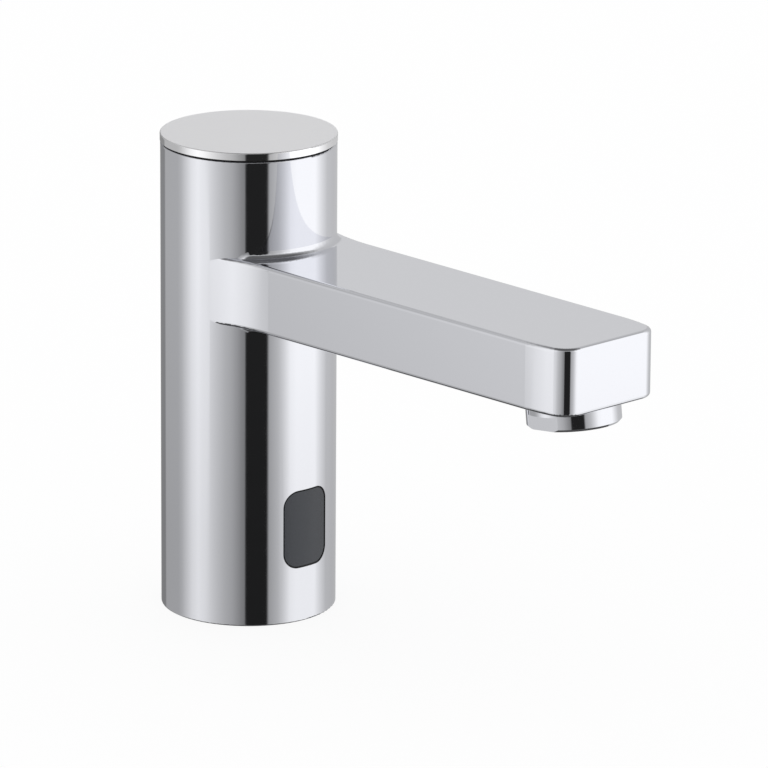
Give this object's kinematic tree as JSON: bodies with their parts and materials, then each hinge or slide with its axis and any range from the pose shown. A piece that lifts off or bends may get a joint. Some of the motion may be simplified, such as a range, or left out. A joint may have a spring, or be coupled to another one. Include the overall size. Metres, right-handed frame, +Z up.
{
  "type": "sensor tap",
  "caption": "Touch-free basin tap: round chromed column with flat satin lid, box-section spout, dark sensor window low on the front and a screwed-in aerator.",
  "frame": {"origin": "centre of the column's foot, on the face that stands on the basin", "axes": "+Z up along the column, -Y along the spout towards the user, +X to the right of the user facing the tap from the front"},
  "size_m": [0.0502, 0.1708, 0.1385],
  "materials": {
    "polished_chrome": "polished",
    "satin_chrome": "satin",
    "smoked_pane": "gloss",
    "black_rubber": "matte",
    "grey_foam": "matte",
    "black_plastic": "satin",
    "machined_brass": "satin",
    "stainless_steel": "satin",
    "zinc_plated_steel": "satin",
    "nickel_strip": "gloss",
    "copper_winding": "gloss",
    "natural_plastic": "satin",
    "glass_filled_nylon": "satin",
    "clear_tube": "satin",
    "circuit_green": "satin",
    "tinted_epoxy": "gloss",
    "battery_sleeve": "gloss",
    "cable_jacket": "satin"
  },
  "bodies": {
    "tap": {"tap_body": "polished_chrome", "cap_gasket": "black_rubber", "cap_screw": "stainless_steel", "base_plug": "machined_brass", "base_o_ring": "black_rubber", "window_gasket": "black_rubber", "sensor_window": "smoked_pane", "sensor_housing": "black_plastic", "sensor_board": "circuit_green", "ir_emitter": "tinted_epoxy", "ir_receiver": "tinted_epoxy", "indicator_led": "tinted_epoxy", "sensor_screws": "stainless_steel", "inlet_barrel": "machined_brass", "barrel_adaptor": "machined_brass", "spigot_o_rings": "black_rubber", "inlet_strainer": "natural_plastic", "check_valve_body": "natural_plastic", "check_valve_spring": "stainless_steel", "valve_body": "natural_plastic", "valve_mount_screws": "stainless_steel", "diaphragm_membrane": "black_rubber", "valve_cover": "natural_plastic", "cover_screws": "stainless_steel", "armature_tube": "stainless_steel", "fixed_core": "stainless_steel", "plunger_spring": "stainless_steel", "coil_bobbin": "glass_filled_nylon", "coil_winding": "copper_winding", "coil_yoke": "zinc_plated_steel", "coil_nut": "stainless_steel", "outlet_tube": "clear_tube", "tube_o_rings": "black_rubber", "battery_holder": "black_plastic", "battery_contacts": "nickel_strip", "battery": "battery_sleeve", "holder_screws": "stainless_steel", "control_board": "circuit_green", "sensor_lead": "cable_jacket", "valve_lead": "cable_jacket"},
    "cap": {"top_cap": "satin_chrome", "cap_pad": "grey_foam"},
    "plunger": {"plunger": "stainless_steel", "plunger_seal": "black_rubber"},
    "diaphragm": {"diaphragm_plate": "natural_plastic"},
    "check_poppet": {"check_valve_poppet": "natural_plastic"},
    "aerator_seal": {"aerator_washer": "black_rubber"},
    "aerator": {"aerator_housing": "polished_chrome", "aerator_insert": "natural_plastic", "aerator_screen": "stainless_steel"}
  },
  "joints": [
    {"name": "cap_lift", "type": "slide", "parent": "tap", "child": "cap", "axis": [0, 0, 1], "range_m": [0, 0.03]},
    {"name": "plunger_slide", "type": "slide", "parent": "tap", "child": "plunger", "axis": [0, 0, 1], "range_m": [0, 0.0012], "stiffness_N_per_m": 250, "springref_m": -0.006, "deforming": ["plunger_spring"]},
    {"name": "diaphragm_lift", "type": "slide", "parent": "tap", "child": "diaphragm", "axis": [0, 0, 1], "range_m": [0, 0.001], "deforming": ["diaphragm_membrane"]},
    {"name": "check_valve_lift", "type": "slide", "parent": "tap", "child": "check_poppet", "axis": [0, 0, 1], "range_m": [0, 0.002], "stiffness_N_per_m": 60, "springref_m": -0.006, "deforming": ["check_valve_spring"]},
    {"name": "aerator_unscrew", "type": "slide", "parent": "tap", "child": "aerator_seal", "axis": [0, -0.1219, -0.9925], "range_m": [0, 0.005]},
    {"name": "aerator_turn", "type": "hinge", "parent": "aerator_seal", "child": "aerator", "pos_m": [0, -0.1306, 0.08943], "axis": [0, -0.1219, -0.9925], "range_deg": [0, 1800]}
  ],
  "couplings": [
    {"joint": "diaphragm_lift", "follows": "plunger_slide", "ratio": 0.8333},
    {"joint": "aerator_turn", "follows": "aerator_unscrew", "rad_per_m": 6283.2}
  ]
}
